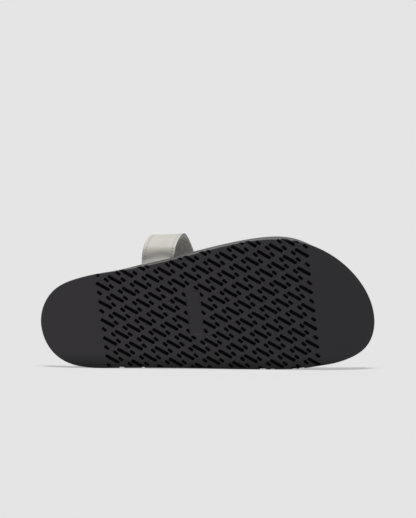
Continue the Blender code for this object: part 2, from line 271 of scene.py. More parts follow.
def carve(piece, cutter):
    """Boolean difference, done at once, so that the piece is a plain mesh again."""
    cut = piece.modifiers.new("cut", "BOOLEAN")
    cut.operation = "DIFFERENCE"
    cut.solver = "EXACT"
    cut.object = cutter
    done = piece.evaluated_get(bpy.context.evaluated_depsgraph_get())
    mesh = bpy.data.meshes.new_from_object(done)
    piece.modifiers.clear()
    piece.data = mesh
    mesh.name = piece.name
    bpy.data.objects.remove(cutter, do_unlink=True)


def take_place(piece, node):
    """The piece rides on the shoe and is seen instead of the plain solid."""
    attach(piece, "root")
    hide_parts(node)
    piece.data.calc_loop_triangles()
    print(piece.name, "replaces", node, "with", len(piece.data.loop_triangles), "triangles")


# %% [markdown]
# ## Finishes
#
# Rubber, foam, suede and leather differ less in colour than in how their skin is broken up:
# moulded grain, cell pits, nap, pores. Each finish is a shader with its even values on its own
# sockets. What varies is a value that comes from a fine texture or a slope over the object's own
# coordinates, or from a number that the mesh carries at each point. A texture scale of 1000 means
# a pattern about one millimetre wide.

# %% Shaders and values that vary
GLOSS = "Specular IOR Level"
SOFT_SHEEN = ("Sheen Roughness", 0.5)


def new_finish(name, colour, roughness, extras=()):
    """Principled shader with even colour, roughness and any further sockets."""
    made = bpy.data.materials.new(name)
    made.use_nodes = True
    shader = made.node_tree.nodes["Principled BSDF"]
    shader.inputs["Base Color"].default_value = (*colour, 1.0)
    shader.inputs["Roughness"].default_value = roughness
    for socket, value in extras:
        shader.inputs[socket].default_value = value
    return made


def add_texture(made, kind, scale, detail=2.0, stretch=(1.0, 1.0, 1.0)):
    """Noise or cells over the object's own coordinates; returns the value that varies."""
    nodes, links = made.node_tree.nodes, made.node_tree.links
    place = nodes.new("ShaderNodeTexCoord")
    size = nodes.new("ShaderNodeMapping")
    size.inputs["Scale"].default_value = stretch
    links.new(place.outputs["Object"], size.inputs["Vector"])
    texture = nodes.new("ShaderNodeTexNoise" if kind == "noise" else "ShaderNodeTexVoronoi")
    texture.inputs["Scale"].default_value = scale
    texture.inputs["Detail"].default_value = detail
    links.new(size.outputs["Vector"], texture.inputs["Vector"])
    return texture.outputs["Fac" if kind == "noise" else "Distance"]


def add_slope(made, direction, start, end):
    """Way along a direction over the object's own coordinates: nought at start, one at end."""
    nodes, links = made.node_tree.nodes, made.node_tree.links
    place = nodes.new("ShaderNodeTexCoord")
    way = nodes.new("ShaderNodeVectorMath")
    way.operation = "DOT_PRODUCT"
    way.inputs[1].default_value = direction
    links.new(place.outputs["Object"], way.inputs[0])
    share = nodes.new("ShaderNodeMapRange")
    share.inputs["From Min"].default_value = start
    share.inputs["From Max"].default_value = end
    links.new(way.outputs["Value"], share.inputs["Value"])
    return share.outputs["Result"]


def add_mark(made, name):
    """Number that the mesh carries at each point under the given name."""
    mark = made.node_tree.nodes.new("ShaderNodeAttribute")
    mark.attribute_name = name
    return mark.outputs["Fac"]


# %% [markdown]
# ## Steering a finish
#
# A varying value does one of three things here. It carries a socket from one setting to another,
# it raises the skin a little, or it blends the colour towards a second colour, as paint on a cut
# edge does, and as painted shade does on the rubber's lower edge and in the needle holes.

# %% Values into sockets
def vary(made, socket, value, low, high, start=0.3, end=0.7):
    """Lets a value between start and end carry a socket from low to high."""
    nodes, links = made.node_tree.nodes, made.node_tree.links
    shader = nodes["Principled BSDF"]
    if isinstance(low, tuple):
        ramp = nodes.new("ShaderNodeValToRGB")
        ramp.color_ramp.elements[0].position = start
        ramp.color_ramp.elements[1].position = end
        ramp.color_ramp.elements[0].color = (*low, 1.0)
        ramp.color_ramp.elements[1].color = (*high, 1.0)
        links.new(value, ramp.inputs["Fac"])
        links.new(ramp.outputs["Color"], shader.inputs[socket])
        return
    scaled = nodes.new("ShaderNodeMapRange")
    for name, number in (("From Min", start), ("From Max", end), ("To Min", low), ("To Max", high)):
        scaled.inputs[name].default_value = number
    links.new(value, scaled.inputs["Value"])
    links.new(scaled.outputs["Result"], shader.inputs[socket])


def add_bump(made, value, height, strength=1.0):
    """Raises the skin by up to height millimetres where the value is high, over earlier bumps."""
    nodes, links = made.node_tree.nodes, made.node_tree.links
    normal = nodes["Principled BSDF"].inputs["Normal"]
    bump = nodes.new("ShaderNodeBump")
    bump.inputs["Strength"].default_value = strength
    bump.inputs["Distance"].default_value = height * MM
    links.new(value, bump.inputs["Height"])
    if normal.links:
        links.new(normal.links[0].from_socket, bump.inputs["Normal"])
    links.new(bump.outputs["Normal"], normal)


def tint(made, value, colour):
    """Blends the base colour towards another colour as the value goes from nought to one."""
    nodes, links = made.node_tree.nodes, made.node_tree.links
    base = nodes["Principled BSDF"].inputs["Base Color"]
    blend = nodes.new("ShaderNodeMix")
    blend.data_type = "RGBA"
    blend.inputs["B"].default_value = (*colour, 1.0)
    links.new(value, blend.inputs["Factor"])
    if base.links:
        links.new(base.links[0].from_socket, blend.inputs["A"])
    blend.inputs["A"].default_value = base.default_value[:]
    links.new(blend.outputs["Result"], base)


# %% [markdown]
# ## Rubber
#
# The outsole is pressed in a heated mould from dark rubber. Its ground face is satin, with painted
# light that makes it paler towards the heel and the top and darker towards the toe, and painted
# shade that darkens the lower edge near the floor, where the gloss is lower too. The side faces get a
# paler, matt copy of the rubber as painted light, and the pockets of the tread a darker, dull copy as
# painted shade. So it takes three finishes.

# %% Rubber finishes
rubber = new_finish("outsole_rubber", (0.010, 0.008, 0.011), 0.42, [(GLOSS, 0.42)])
# painted light: the rubber is paler towards the heel and the top, darker towards the toe and the
# floor
painted_light_slope = add_slope(rubber, (1.0, 0.0, -0.5), -0.17, 0.11)
vary(rubber, "Base Color", painted_light_slope, (0.0135, 0.0105, 0.0145), (0.002, 0.0005, 0.003), 0.0, 1.0)
# painted shade: the rubber darkens within 15 mm of the floor, and its gloss falls off within 10 mm
tint(rubber, add_slope(rubber, (0.0, 0.0, -1.0), -0.015, 0.0), (0.001, 0.0006, 0.001))
vary(rubber, GLOSS, add_slope(rubber, (0.0, 0.0, 1.0), 0.0, 0.010), 0.21, 0.42, 0.0, 1.0)
vary(rubber, "Roughness", add_texture(rubber, "noise", 160.0, 4.0), 0.38, 0.46)
add_bump(rubber, add_texture(rubber, "noise", 2200.0, 2.0), 0.03, 0.35)

# painted shade: a darker, duller copy of the rubber for the deep faces of the pockets
shaded_pocket_rubber = new_finish("shaded_pocket_rubber", (0.004, 0.004, 0.004), 0.85, [(GLOSS, 0.15)])
add_bump(shaded_pocket_rubber, add_texture(shaded_pocket_rubber, "noise", 1800.0, 2.0), 0.03, 0.4)

# painted light: a paler copy of the rubber for the side faces of the slab
lit_side_rubber = new_finish("lit_side_rubber", (0.085, 0.083, 0.085), 0.55)
add_bump(lit_side_rubber, add_texture(lit_side_rubber, "noise", 1500.0, 3.0), 0.04, 0.4)

RUBBERS = [rubber, shaded_pocket_rubber, lit_side_rubber]
RUBBER, POCKET, SIDE = range(3)
print("rubber finishes:", [finish.name for finish in RUBBERS])

# %% [markdown]
# ## Slab of the outsole
#
# The slab is flat under the foot and rolls up at heel and toe, and both its edges are rounded. It is
# a stack of rings, closed above and below by rungs that join the two sides. The flat of the ground
# face is one single face, because the cuts for the tread come out cleanest there.

# %% Slab
TOP_ROUND, SIDE_LIMIT = 0.35, 0.35
edge_turn = np.radians(np.linspace(0.0, 90.0, 6))
slab_top = GROUND + OUTSOLE_THICKNESS
slab_rings = sole_rings(
    [EDGE_ROUND * (1.0 - math.sin(angle)) for angle in edge_turn]
    + [wall_inset(slab_top - TOP_ROUND), wall_inset(slab_top) + TOP_ROUND],
    [GROUND + EDGE_ROUND * (1.0 - math.cos(angle)) for angle in edge_turn]
    + [slab_top - TOP_ROUND, slab_top],
)


def rungs(first, last):
    """Faces that join the two sides of a ring from one station to another."""
    here = np.arange(first, last)
    there = RING - here
    return np.column_stack([here, here + 1, there - 1, there]) % RING


def cap(flat=None):
    """Rungs over a whole ring, triangles at the two tips and one face for a flat stretch."""
    tips = [(0, 1, RING - 1), (STATIONS - 1, STATIONS, STATIONS + 1)]
    if flat is None:
        return tips + rungs(1, STATIONS - 1).tolist()
    start, end = flat
    plate = list(range(start, end + 1)) + list(range(RING - end, RING - start + 1))
    return tips + rungs(1, start).tolist() + rungs(end, STATIONS - 1).tolist() + [plate]


slab_points, slab_faces = weld([
    (slab_rings.reshape(-1, 3), grid_faces(len(slab_rings), RING, True)),
    (slab_rings[0], cap(FLAT_ROWS)),
    (slab_rings[-1], cap()),
])
outsole = make_piece("outsole_sole", slab_points, slab_faces, RUBBERS)
# side faces take the paler rubber, painted light on the wall
facing = np.array([face.normal[:] for face in outsole.data.polygons]) @ UP
on_side = np.where(np.abs(facing) < SIDE_LIMIT, SIDE, RUBBER)
outsole.data.polygons.foreach_set("material_index", on_side.astype(np.int32))
print("outsole slab:", len(slab_faces), "faces")

# %% [markdown]
# ## Where the tread is cut
#
# Blades in the mould leave slanted slots on a slanted lattice, with a short dot on either side of
# each slot. A bare patch in the waist stays free of slots. Two steps and an origin make the whole
# lattice, and only the places on the flat of the sole are kept.

# %% Places of slots and dots
CORNER_POINTS = 5
SLOT = {"size": (12.8, 2.8), "turned": math.radians(-29.0), "corner": 0.8,
        "per_corner": CORNER_POINTS, "depth": 3.4}
SLOT_ORIGIN, SLOT_STEP, SLOT_DROP, SLOT_REACH = (141.0, 37.9), (9.80, 5.69), (2.00, -15.35), 24
DOT = {"size": (4.6, 2.45), "turned": math.radians(-39.0), "corner": 0.7,
       "per_corner": 4, "depth": 2.4}
DOT_OFFSET, DOT_HALF_RUN, DOT_HALF_DROP = np.array((7.0, 0.15)), 1.7, 0.8
PATCH_SIZE, TREAD_MARGIN = (11.0, 38.0), 0.5
steps = np.arange(-SLOT_REACH, SLOT_REACH + 1)
counted = np.stack(np.meshgrid(steps, steps), axis=-1).reshape(-1, 2)
lattice = counted @ np.array([SLOT_STEP, SLOT_DROP]) + np.array(SLOT_ORIGIN)


def section_station(places):
    """Station of the skewed section that runs through each place."""
    return places[:, 0] + SECTION_SKEW * (places[:, 1] - SKEW_CENTRE)


def on_tread(places, half_run, half_drop):
    """Places whose pocket starts on the flat and reaches the sole."""
    station = section_station(places)
    inside = np.clip(station, 0.0, SOLE_LENGTH)
    low = read_table(SOLE, 1, inside) - half_drop
    high = read_table(SOLE, 2, inside) + half_drop
    on_flat = (station > FLAT_START + half_run) & (station < FLAT_END - half_run)
    return on_flat & (places[:, 1] > low) & (places[:, 1] < high)


half_slot = SLOT["size"][0] / 2.0
slot_run = half_slot * (math.cos(SLOT["turned"]) + SECTION_SKEW * math.sin(SLOT["turned"]))
slot_drop = half_slot * abs(math.sin(SLOT["turned"]))
patch_station = PATCH_CENTRE[0] + SECTION_SKEW * (PATCH_CENTRE[1] - SKEW_CENTRE)
beside_patch = np.abs(section_station(lattice) - patch_station) > PATCH_SIZE[0] / 2.0
beyond_patch = np.abs(lattice[:, 1] - PATCH_CENTRE[1]) > PATCH_SIZE[1] / 2.0
treaded = on_tread(lattice, slot_run + TREAD_MARGIN, slot_drop - TREAD_MARGIN)
slots = lattice[treaded & (beside_patch | beyond_patch)]
dots = np.concatenate([lattice + DOT_OFFSET, lattice - DOT_OFFSET])
dots = dots[on_tread(dots, DOT_HALF_RUN, DOT_HALF_DROP)]
print(len(slots), "slots and", len(dots), "dots")

# %% [markdown]
# ## Shape of a pocket
#
# A blade leaves a pocket with a rounded lip, straight walls and a rounded floor. Each pocket is the
# outline of a bar with round corners, repeated at a few depths: a little larger at the lip, a little
# smaller at the floor. All pockets of a set are one cutter. A keeper is a plain block that is taken
# out of the cutter, for rubber that stays whole.

# %% Pockets and keepers
LIP, LIP_REACH = 0.22, 0.23
LIP_TURN = np.radians((0.0, 30.0, 60.0, 84.0))
FLOOR_ROUND, FLOOR_CORNER = 0.45, 0.13
POCKET_RISE, DARK_DEPTH = 1.5, 0.7
KEEPER_LEVELS = (-3.0, 5.0)


def turn_plan(angle):
    """Matrix that turns rows of along and across by an angle."""
    return np.array([(math.cos(angle), math.sin(angle)), (-math.sin(angle), math.cos(angle))])


def bar_outline(length, width, corner, per_corner):
    """Four quarter circles round the corners of a bar, joined by its straight sides."""
    angle = (np.arange(4)[:, None] * 90.0 + np.linspace(0.0, 90.0, per_corner)).ravel()
    arc = np.column_stack([np.cos(np.radians(angle)), np.sin(np.radians(angle))])
    side = np.repeat([(1, 1), (-1, 1), (-1, -1), (1, -1)], per_corner, axis=0)
    return side * (np.array((length, width)) / 2.0 - corner) + corner * arc


def pockets(places, size, turned, corner, per_corner, depth):
    """The bar's outline at each level of a pocket, grown at the lip and drawn in at the floor."""
    grow = np.concatenate([
        (-FLOOR_ROUND, -FLOOR_CORNER, 0.0), LIP * (1.0 - np.cos(LIP_TURN)), (LIP_REACH,)])
    level = np.concatenate([
        (depth, depth - FLOOR_CORNER, depth - FLOOR_ROUND), LIP * (1.0 - np.sin(LIP_TURN)),
        (-POCKET_RISE,)])
    outlines = np.stack([
        bar_outline(size[0] + 2 * more, size[1] + 2 * more, corner + more, per_corner)
        for more in grow])
    flat = places[:, None, None] + (outlines @ turn_plan(turned))[None]
    up = np.broadcast_to(level[None, :, None, None], (*flat.shape[:3], 1))
    points = np.concatenate([flat, up], axis=-1).reshape(-1, 3)
    count, per_ring = len(grow) * 4 * per_corner, 4 * per_corner
    first = np.arange(len(places)) * count
    walls = (first[:, None, None] + grid_faces(len(grow), per_ring, True)).reshape(-1, 4)
    floors = first[:, None] + np.arange(per_ring)
    return points, walls.tolist() + floors.tolist() + (floors + count - per_ring).tolist()


def pocket_cutter(name, blocks):
    """One cutter from several sets of pockets, its deeper faces marked for painted shade."""
    points, faces = weld(blocks)
    made = make_piece(name, points, faces, [rubber, shaded_pocket_rubber])
    centres = np.array([face.center[:] for face in made.data.polygons])
    depth = (centres - np.array(mount["pos_m"])) @ UP
    # faces deeper than DARK_DEPTH take the painted shade
    deep = np.where(depth > DARK_DEPTH * MM, POCKET, RUBBER)
    made.data.polygons.foreach_set("material_index", deep.astype(np.int32))
    return made


def keeper(name, centre, size, turned, corner):
    """Block with rounded corners that goes right through the slab."""
    outline = centre + bar_outline(*size, corner, CORNER_POINTS) @ turn_plan(turned)
    rings = [np.column_stack([outline, np.full(len(outline), level)]) for level in KEEPER_LEVELS]
    ends = [tuple(range(len(outline))), tuple(range(len(outline), 2 * len(outline)))]
    faces = grid_faces(2, len(outline), True).tolist() + ends
    return make_piece(name, np.concatenate(rings), faces, [rubber, shaded_pocket_rubber])


# %% [markdown]
# ## Cutting the tread
#
# A shallow bare panel lies in the waist, and two stretches of the inner edge have no open pockets.
# Pockets that come near the panel may not overlap it inside one cutter, so they are a second set
# with the panel kept out of them. Two cuts then make the whole tread.

# %% Cut the pockets
PANEL = {"size": (36.8, 10.8), "turned": math.radians(97.1), "corner": 1.0,
         "per_corner": CORNER_POINTS, "depth": 0.6}
PANEL_MARGIN, DOT_OVERLAP = 0.6, 1.0
NEAR_SLOT, NEAR_DOT = 7.0, 3.5

# Stretches of the inner edge without open pockets: centre, size and turn in degrees
WHOLE_EDGES = (((133.0, -0.9), (90.0, 4.4), 0.0), ((232.5, 3.15), (10.0, 2.0), 10.5))
WHOLE_EDGE_CORNER = 0.2


def from_panel(places):
    """Distance of each place from the edge of the bare panel; below zero is inside."""
    from_centre = np.abs((places - PATCH_CENTRE) @ turn_plan(PANEL["turned"]).T)
    return (from_centre - np.array(PANEL["size"]) / 2.0).max(axis=1)


dots = dots[from_panel(dots) > -DOT_OVERLAP]
clear_slot, clear_dot = from_panel(slots) > NEAR_SLOT, from_panel(dots) > NEAR_DOT
clear = pocket_cutter("clear_pockets", [
    pockets(slots[clear_slot], **SLOT),
    pockets(dots[clear_dot], **DOT),
    pockets(np.array([PATCH_CENTRE]), **PANEL),
])
near = pocket_cutter("near_pockets", [
    pockets(slots[~clear_slot], **SLOT),
    pockets(dots[~clear_dot], **DOT),
])
kept_size, kept_corner = np.array(PANEL["size"]) + 2.0 * PANEL_MARGIN, PANEL["corner"] + PANEL_MARGIN
carve(near, keeper("whole_panel", PATCH_CENTRE, kept_size, PANEL["turned"], kept_corner))
for number, (centre, size, turned) in enumerate(WHOLE_EDGES):
    block = keeper("whole_edge_%d" % number, centre, size, math.radians(turned), WHOLE_EDGE_CORNER)
    carve(clear, block)
carve(outsole, clear)
carve(outsole, near)
smooth(outsole.data, TREAD_SHARP)
even = outsole.modifiers.new("even_shading", "WEIGHTED_NORMAL")
even.keep_sharp = True
print("cut:", len(slots), "slots,", len(dots), "dots and the panel")
take_place(outsole, "outsole")

# %% [markdown]
# ## Midsole
#
# The midsole is one block of closed-cell foam, shaped in a mould. The foam is grey and matt. Its
# skin has fine pits where cells were cut open, broad soft dents, and a colour that is not quite even.

# %% Foam finish
foam = new_finish("midsole_foam", (0.055, 0.054, 0.056), 0.72)
blotches = add_texture(foam, "noise", 60.0, 5.0)
vary(foam, "Base Color", blotches, (0.047, 0.046, 0.048), (0.063, 0.062, 0.064))
add_bump(foam, add_texture(foam, "cells", 1400.0, 0.0), 0.05, 0.35)
add_bump(foam, add_texture(foam, "noise", 320.0, 3.0), 0.06, 0.25)

print("foam finish:", foam.name)

# %% [markdown]
# ## Block of foam
#
# The wall of the block leans a little inwards and swells slightly, its rim is rounded, and its top
# is dished for the foot. Rings of the plan make the wall and the rim, and a dished grid the top.

# %% Foam block
GAP, STEP, SWELL = 0.3, 0.5, 0.3
RIM_ROUND, RIM_WIDTH, RIM_LIP = 1.4, 4.0, 0.4
RECESS_DEPTH, DISH_POWER, DISH_COLUMNS = 3.2, 2.4, 24
inner_rim, outer_rim = read_table(RIM, 1, RING_STATION), read_table(RIM, 2, RING_STATION)
rim = inner_rim * (1.0 - OUTER_SHARE) + outer_rim * OUTER_SHARE
rim_inset = STEP + wall_inset(rim)
rim_end = rim_inset + RIM_WIDTH
cup = read_table(RIM, 3, STATION)
wall_low = GROUND + OUTSOLE_THICKNESS + GAP
wall_high = rim - RIM_ROUND
low_inset = STEP + wall_inset(wall_low)
wall_share = np.linspace(0.0, 1.0, 9)
rim_turn = np.radians(np.linspace(0.0, 90.0, 6))[1:]
wall_rings = sole_rings(
    [low_inset + (rim_inset - low_inset) * share - SWELL * math.sin(math.pi * share)
     for share in wall_share]
    + [rim_inset + RIM_ROUND * (1.0 - math.cos(angle)) for angle in rim_turn]
    + [rim_end - RIM_LIP, rim_end, rim_end + GAP],
    [wall_low + (wall_high - wall_low) * share for share in wall_share]
    + [wall_high + RIM_ROUND * math.sin(angle) for angle in rim_turn]
    + [rim, rim - RIM_LIP, rim - RECESS_DEPTH],
)


def dished(ring):
    """Points and faces of the dish that fills a ring of the sole."""
    lines = dish(ring, cup, DISH_COLUMNS, DISH_POWER)
    return lines.reshape(-1, 3), grid_faces(STATIONS + 1, DISH_COLUMNS + 1, False)


foam_points, foam_faces = weld([
    (wall_rings.reshape(-1, 3), grid_faces(len(wall_rings), RING, True)),
    (wall_rings[0], cap()),
    dished(wall_rings[-1]),
])
midsole = make_piece("midsole_block", foam_points, foam_faces, [foam])
print("foam block:", len(foam_faces), "faces")

# %% [markdown]
# ## Line of the strap
#
# The strap is cut from leather and lined, bent over the instep, and its two ends are glued into
# slits in the sides of the midsole. Its middle line is a smooth curve through folds measured on the
# shoe. At every place along it there are two more directions: across the band, and outwards from
# the foot.

# %% Curve of the strap
STRAP_WIDTH, HALF_THICKNESS = 27.0, 1.2
STRAP_ROOT = 97.7
STRAP_TILT, TILT_START, TILT_END = 0.043, 40.0, 100.0

# Across, up and forward of each fold, from the outer end over the instep to the inner end
FOLDS = np.array((
    (79.0, 19.6, 0.0), (84.0, 19.5, 0.0), (87.0, 19.6, 0.0), (89.5, 19.8, 0.1),
    (92.5, 19.9, 0.3), (96.0, 20.7, 1.1), (100.0, 25.2, 2.1), (103.2, 33.2, 3.8),
    (105.2, 45.4, 6.4), (104.6, 54.0, 8.7), (100.4, 61.0, 11.0), (94.3, 65.4, 13.5),
    (85.9, 68.6, 16.6), (65.9, 71.4, 20.6), (42.0, 71.2, 24.3), (20.0, 67.0, 27.2),
    (4.0, 58.0, 29.1), (-2.6, 47.0, 29.9), (-1.4, 36.0, 30.2), (0.2, 27.5, 30.2),
    (1.6, 22.6, 30.1), (4.6, 19.3, 30.0), (8.6, 18.5, 30.0), (18.0, 18.5, 30.0),
))


def unit(rows):
    """Each row divided by its own length."""
    return rows / np.linalg.norm(rows, axis=-1, keepdims=True)


fold_run = np.concatenate([[0.0], np.cumsum(np.linalg.norm(np.diff(FOLDS, axis=0), axis=1))])
STRAP_LENGTH = float(fold_run[-1])
RUN = np.linspace(0.0, STRAP_LENGTH, 500)
bent = np.column_stack([cubic_through(fold_run, FOLDS[:, i], RUN) for i in range(3)])
LINE = np.column_stack([STRAP_ROOT + bent[:, 2], bent[:, 0], bent[:, 1]])
ahead = unit(np.gradient(LINE, axis=0))
raised = STRAP_TILT * np.clip((LINE[:, 1] - TILT_START) / (TILT_END - TILT_START), 0.0, 1.0)
level = np.column_stack([np.ones(len(LINE)), raised, np.zeros(len(LINE))])
WIDE = unit(level - np.sum(level * ahead, axis=1)[:, None] * ahead)
OUT = np.cross(ahead, WIDE)

RUN = np.concatenate([[-GAP], RUN, [STRAP_LENGTH + GAP]])
LINE = np.concatenate([LINE[:1] - GAP * ahead[:1], LINE, LINE[-1:] + GAP * ahead[-1:]])
WIDE = np.concatenate([WIDE[:1], WIDE, WIDE[-1:]])
OUT = np.concatenate([OUT[:1], OUT, OUT[-1:]])
print("the strap is", round(STRAP_LENGTH), "mm long and", STRAP_WIDTH, "mm wide")

# %% [markdown]
# ## Creases and bands
#
# Leather creases where it bends, most of all at the root of the strap. Soft creases press the line
# in or out, so that leather, lining and thread all follow them. A band is a closed profile carried
# along this line.

# %% Creases and bands
# Place along the line, half width, height (below zero is a trough) and slant across the band
CREASES = (
    (8.9, 1.25, 0.62, 0.26), (13.7, 2.8, -0.66, 0.36), (20.5, 3.65, 1.42, 0.01),
    (86.0, 7.0, -0.4, 0.10), (143.0, 12.0, -0.5, -0.10), (169.0, 6.0, -0.5, 0.0),
)


def creased(run, side):
    """Sum of bell curves along the line, each moved on by its slant times the way across."""
    return sum(height * np.exp(-((run - place - slant * side) / width) ** 2)
               for place, width, height, slant in CREASES)


def strap_point(run, side, lift):
    """Point of the line, plus side along the band's width, plus lift and crease outwards."""
    run, side, lift = np.broadcast_arrays(run, side, lift)
    base, wide, out = (np.stack([np.interp(run, RUN, rows[:, i]) for i in range(3)], axis=-1)
                       for rows in (LINE, WIDE, OUT))
    return base + side[..., None] * wide + (lift + creased(run, side))[..., None] * out


def band(name, run, sides, lifts, finishes):
    """A closed profile of sides and lifts carried along the line, with both ends closed."""
    rows = strap_point(run[:, None], sides, lifts)
    count = len(sides)
    ends = [tuple(range(count)), tuple(range(len(rows) * count - count, len(rows) * count))]
    faces = grid_faces(len(rows), count, True).tolist() + ends
    return make_piece(name, rows.reshape(-1, 3), faces, finishes, BAND_SHARP)


print(len(CREASES), "creases, the highest", max(row[2] for row in CREASES), "mm")

# %% [markdown]
# ## Slits in the foam
#
# Each end of the strap sits in a slit that is moulded or cut into the side of the midsole. The
# strap itself, grown by the gap that glue would fill, is the cutter, so slit and strap always fit.

# %% Slits in the foam
half_wide, half_thick = STRAP_WIDTH / 2.0 + GAP, HALF_THICKNESS + GAP
grown_sides = np.array((-half_wide, half_wide, half_wide, -half_wide))
grown_lifts = np.array((half_thick, half_thick, -half_thick, -half_thick))
grown_run = np.linspace(-GAP, STRAP_LENGTH + GAP, 250)
carve(midsole, band("channel", grown_run, grown_sides, grown_lifts, [foam]))
smooth(midsole.data, EDGE_SHARP)
take_place(midsole, "midsole")

# %% [markdown]
# ## Insole
#
# The insole is a thin foam bed under a suede-like cover, glued into the dish of the midsole. Its
# edge is turned down and rounded. The same dish makes its upper and its lower face, and the nap of
# the cover is a fine uneven bump with a soft sheen.

# %% Suede finish and footbed
suede = new_finish("insole_suede", (0.100, 0.098, 0.090), 0.92, [("Sheen Weight", 0.25), SOFT_SHEEN])
rubbed = add_texture(suede, "noise", 120.0, 6.0)
vary(suede, "Base Color", rubbed, (0.078, 0.076, 0.070), (0.122, 0.120, 0.111))
add_bump(suede, add_texture(suede, "noise", 1600.0, 4.0, (0.6, 1.0, 1.0)), 0.10, 0.5)

BED_THICKNESS, BED_ROUND, BED_CHAMFER = 3.0, 0.8, 0.3
bed_inset = rim_end + 2.0 * GAP
bed_low = rim - RECESS_DEPTH + GAP
bed_high = bed_low + BED_THICKNESS
bed_turn = np.radians(np.linspace(0.0, 90.0, 5))
bed_rings = sole_rings(
    [bed_inset + BED_CHAMFER, bed_inset]
    + [bed_inset + BED_ROUND * (1.0 - math.cos(angle)) for angle in bed_turn],
    [bed_low, bed_low + BED_CHAMFER]
    + [bed_high - BED_ROUND + BED_ROUND * math.sin(angle) for angle in bed_turn],
)
bed_points, bed_faces = weld([
    (bed_rings.reshape(-1, 3), grid_faces(len(bed_rings), RING, True)),
    dished(bed_rings[0]),
    dished(bed_rings[-1]),
])
insole = make_piece("insole_bed", bed_points, bed_faces, [suede])
take_place(insole, "insole")

# %% [markdown]
# ## Leather of the strap
#
# The outer layer is smooth pale leather with a fine grain. Its cut edge is sealed with dark paint,
# and the needle holes are darkened with painted shade. Edge and holes are marked on the mesh, and
# the finish tints what is marked, so paint and painted shade stay put whatever the texture does.

# %% Leather finish
leather = new_finish("strap_leather", (0.55, 0.53, 0.48), 0.55)
clouds = add_texture(leather, "noise", 70.0, 6.0)
vary(leather, "Base Color", clouds, (0.525, 0.505, 0.455), (0.575, 0.555, 0.505))
vary(leather, "Roughness", add_texture(leather, "noise", 220.0, 4.0), 0.48, 0.62)
add_bump(leather, add_texture(leather, "cells", 1300.0, 0.0), 0.05, 0.3)
add_bump(leather, add_texture(leather, "noise", 500.0, 4.0), 0.06, 0.25)
tint(leather, add_mark(leather, "cut_edge"), (0.05, 0.047, 0.043))
# painted shade in the needle holes
tint(leather, add_mark(leather, "painted_hole_shade"), (0.17, 0.16, 0.14))

print("leather finish:", leather.name)

# %% [markdown]
# ## Outer layer of the strap
#
# A row of even stitches runs along each side of the leather in a shallow pressed groove, with a
# needle hole between each two. The profile has more columns there, and groove and holes are soft
# dents in its lift. The seam is measured along the creased leather, as a sewing machine feeds it.

# %% Outer layer
ROW, PITCH = 10.7, 2.7
EDGE = STRAP_WIDTH / 2.0
SEAM_START, SEAM_END = 11.0, STRAP_LENGTH - 22.0
HOLE_DEPTH, HOLE_LENGTH, HOLE_WIDTH = 0.35, 0.5, 0.4
GROOVE_DEPTH, GROOVE_WIDTH = 0.09, 0.8
CUT_ROUND, PAINTED, LAYER_LIFT, FACE_LIFT = 0.6, 0.25, 0.08, 1.0
PLAIN_HALF, PLAIN_COLUMNS, UNDER_COLUMNS = 7.7, 14, 12
SEAM_COLUMNS = (-1.6, -1.1, -0.75, -0.45, -0.2, 0.0, 0.2, 0.45, 0.75, 1.1, 1.6, 2.0)
upper_run = np.linspace(0.0, STRAP_LENGTH, 900)


def sewn_way(row):
    """Length of the creased leather along a row of stitches, counted from the first stitch."""
    line = strap_point(upper_run, row, HALF_THICKNESS)
    length = np.concatenate([[0.0], np.cumsum(np.linalg.norm(np.diff(line, axis=0), axis=1))])
    return length - np.interp(SEAM_START, upper_run, length)


def mark_points(piece, name, marked):
    """Writes one number for each point of the mesh under the given name."""
    mark = piece.data.attributes.new(name, "FLOAT", "POINT")
    mark.data.foreach_set("value", np.ascontiguousarray(marked, dtype=np.float32))


cut_turn = np.radians(np.linspace(90.0, 0.0, 5))
seam = ROW + np.array(SEAM_COLUMNS)
plain = np.linspace(-PLAIN_HALF, PLAIN_HALF, PLAIN_COLUMNS)
face = np.concatenate([-seam[::-1], plain, seam])
cut_side = EDGE - CUT_ROUND + CUT_ROUND * np.cos(cut_turn)
cut_lift = HALF_THICKNESS - CUT_ROUND + CUT_ROUND * np.sin(cut_turn)
under = np.linspace(EDGE, -EDGE, UNDER_COLUMNS)
sides = np.concatenate([face, cut_side, under, -cut_side[::-1]])
lifts = np.concatenate([
    np.full(len(face), HALF_THICKNESS), cut_lift, np.full(len(under), LAYER_LIFT), cut_lift[::-1]])
off_row = np.abs(sides) - ROW
groove = GROOVE_DEPTH * np.exp(-(off_row / GROOVE_WIDTH) ** 2)
way = np.where(sides > 0.0, sewn_way(ROW)[:, None], sewn_way(-ROW)[:, None])
to_hole = way % PITCH - PITCH / 2.0
sewn = (way > -PITCH) & (upper_run < SEAM_END)[:, None] & (lifts > FACE_LIFT)
holes = np.exp(-(to_hole / HOLE_LENGTH) ** 2 - (off_row / HOLE_WIDTH) ** 2) * sewn
pressed = np.where(lifts > FACE_LIFT, groove, 0.0) + HOLE_DEPTH * holes
upper = band("strap_upper", upper_run, sides, lifts - pressed, [leather])
mark_points(upper, "cut_edge", np.tile(np.abs(sides) > EDGE - PAINTED, len(upper_run)))
# the needle holes are also marked for painted shade
mark_points(upper, "painted_hole_shade", holes.ravel())
take_place(upper, "strap")

# %% [markdown]
# ## Lining of the strap
#
# Inside lies a grey napped lining, cut a little narrower than the leather, whose raw edge is light.
# Its nap is combed along the band, so its texture is stretched. It is a second closed profile just
# under the first one.

# %% Lining
nap = new_finish("strap_lining", (0.43, 0.42, 0.39), 0.95, [("Sheen Weight", 0.2), SOFT_SHEEN])
tufts = add_texture(nap, "noise", 1000.0, 3.0, (1.0, 0.45, 0.45))
vary(nap, "Base Color", tufts, (0.27, 0.263, 0.245), (0.59, 0.577, 0.535))
add_bump(nap, add_texture(nap, "noise", 1500.0, 4.0), 0.10, 0.5)
tint(nap, add_mark(nap, "cut_edge"), (0.72, 0.70, 0.65))

